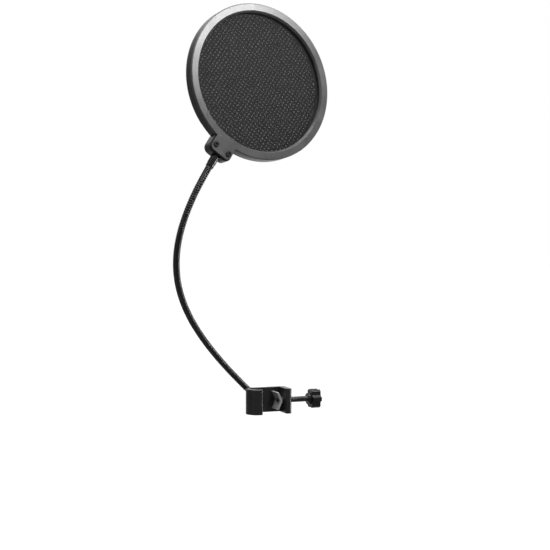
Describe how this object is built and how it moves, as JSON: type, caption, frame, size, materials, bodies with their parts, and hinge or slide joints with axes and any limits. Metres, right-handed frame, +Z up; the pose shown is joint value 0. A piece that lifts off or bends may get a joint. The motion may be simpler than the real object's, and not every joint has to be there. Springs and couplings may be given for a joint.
{
  "type": "pop filter",
  "caption": "Microphone pop filter: a round double-mesh hoop on a bendable gooseneck with a screw clamp for a stand tube, with a swivel ear, pivoting arm and lobed clamp knob",
  "frame": {"origin": "on the axis of the tube that the clamp holds, at half the clamp's height", "axes": "+Z up along the held tube, +X along the clamp screw towards its knob, -Y towards the talker's side"},
  "size_m": [0.177, 0.0961, 0.4219],
  "materials": {
    "clamp_plastic": "moulded black, satin",
    "knob_plastic": "moulded black, satin",
    "hoop_plastic": "moulded dark grey, fine satin texture",
    "spacer_plastic": "moulded black, dull",
    "pad_rubber": "black, dull",
    "bush_brass": "machined",
    "plate_steel": "brushed, bright",
    "screw_steel": "rolled thread, dark plated",
    "zinc_steel": "bright zinc",
    "black_steel": "black oxide, slightly glossy",
    "washer_nylon": "black nylon",
    "ferrule_lacquer": "gloss black",
    "neck_lacquer": "semi-gloss black over wound wire",
    "spring_steel": "bare drawn wire",
    "mesh_nylon": "open woven black nylon, two layers"
  },
  "bodies": {
    "clamp": {"clamp_body": "clamp_plastic", "clamp_pad": "pad_rubber", "thread_bush": "bush_brass", "pivot_bolt": "black_steel", "friction_washer": "washer_nylon", "nut_washer": "black_steel", "pivot_nut": "black_steel"},
    "jaw": {"pressure_plate": "plate_steel", "thrust_washer": "zinc_steel"},
    "screw": {"clamp_screw": "screw_steel", "knob_insert": "bush_brass", "knob": "knob_plastic"},
    "neck_1": {"lower_ferrule": "ferrule_lacquer", "neck_winding_1": "neck_lacquer", "neck_core_1": "spring_steel"},
    "neck_2": {"neck_winding_2": "neck_lacquer", "neck_core_2": "spring_steel"},
    "neck_3": {"neck_winding_3": "neck_lacquer", "neck_core_3": "spring_steel"},
    "neck_4": {"neck_winding_4": "neck_lacquer", "neck_core_4": "spring_steel"},
    "neck_5": {"neck_winding_5": "neck_lacquer", "neck_core_5": "spring_steel"},
    "neck_6": {"neck_winding_6": "neck_lacquer", "neck_core_6": "spring_steel"},
    "neck_7": {"neck_winding_7": "neck_lacquer", "neck_core_7": "spring_steel"},
    "neck_8": {"neck_winding_8": "neck_lacquer", "neck_core_8": "spring_steel", "top_ferrule": "ferrule_lacquer"},
    "hoop": {"front_bezel": "hoop_plastic", "rear_shell": "hoop_plastic", "mesh_front": "mesh_nylon", "spacer_ring": "spacer_plastic", "mesh_rear": "mesh_nylon", "ear_plate": "hoop_plastic", "ear_screws": "black_steel", "ear_nuts": "zinc_steel"}
  },
  "joints": [
    {"name": "clamp_screw_turn", "type": "hinge", "parent": "jaw", "child": "screw", "pos_m": [0.03, 0, 0], "axis": [1, 0, 0], "range_deg": [-5332, 760]},
    {"name": "jaw_travel", "type": "slide", "parent": "clamp", "child": "jaw", "axis": [1, 0, 0], "range_m": [-0.0148, 0.0021]},
    {"name": "arm_pivot", "type": "hinge", "parent": "clamp", "child": "neck_1", "pos_m": [0, 0.01685, 0], "axis": [0, 1, 0], "range_deg": [-80, 100]},
    {"name": "neck_bend_1", "type": "hinge", "parent": "neck_1", "child": "neck_2", "pos_m": [-0.03596, 0.01404, 0.03537], "axis": [0.6684, 0.2463, 0.7019], "range_deg": [-30, 30]},
    {"name": "neck_bend_2", "type": "hinge", "parent": "neck_2", "child": "neck_3", "pos_m": [-0.06018, 0.00565, 0.06137], "axis": [0.5064, -0.8584, 0.0816], "range_deg": [-30, 30]},
    {"name": "neck_bend_3", "type": "hinge", "parent": "neck_3", "child": "neck_4", "pos_m": [-0.08147, -0.0078, 0.08791], "axis": [0.4036, 0.6438, 0.6501], "range_deg": [-30, 30]},
    {"name": "neck_bend_4", "type": "hinge", "parent": "neck_4", "child": "neck_5", "pos_m": [-0.09825, -0.025, 0.11537], "axis": [0.9242, -0.2396, 0.2973], "range_deg": [-30, 30]},
    {"name": "neck_bend_5", "type": "hinge", "parent": "neck_5", "child": "neck_6", "pos_m": [-0.10856, -0.04378, 0.14475], "axis": [0.3544, -0.8394, -0.4122], "range_deg": [-30, 30]},
    {"name": "neck_bend_6", "type": "hinge", "parent": "neck_6", "child": "neck_7", "pos_m": [-0.10952, -0.06014, 0.17723], "axis": [-0.7878, -0.605, -0.1153], "range_deg": [-30, 30]},
    {"name": "neck_bend_7", "type": "hinge", "parent": "neck_7", "child": "neck_8", "pos_m": [-0.09904, -0.06761, 0.21118], "axis": [0.7232, -0.5931, -0.3538], "range_deg": [-30, 30]},
    {"name": "hoop_swivel", "type": "hinge", "parent": "neck_8", "child": "hoop", "pos_m": [-0.06888, -0.05872, 0.25877], "axis": [-0.5623, -0.2366, -0.7924], "continuous": true}
  ],
  "couplings": [
    {"joint": "clamp_screw_turn", "follows": "jaw_travel", "rad_per_m": 6283.2}
  ]
}
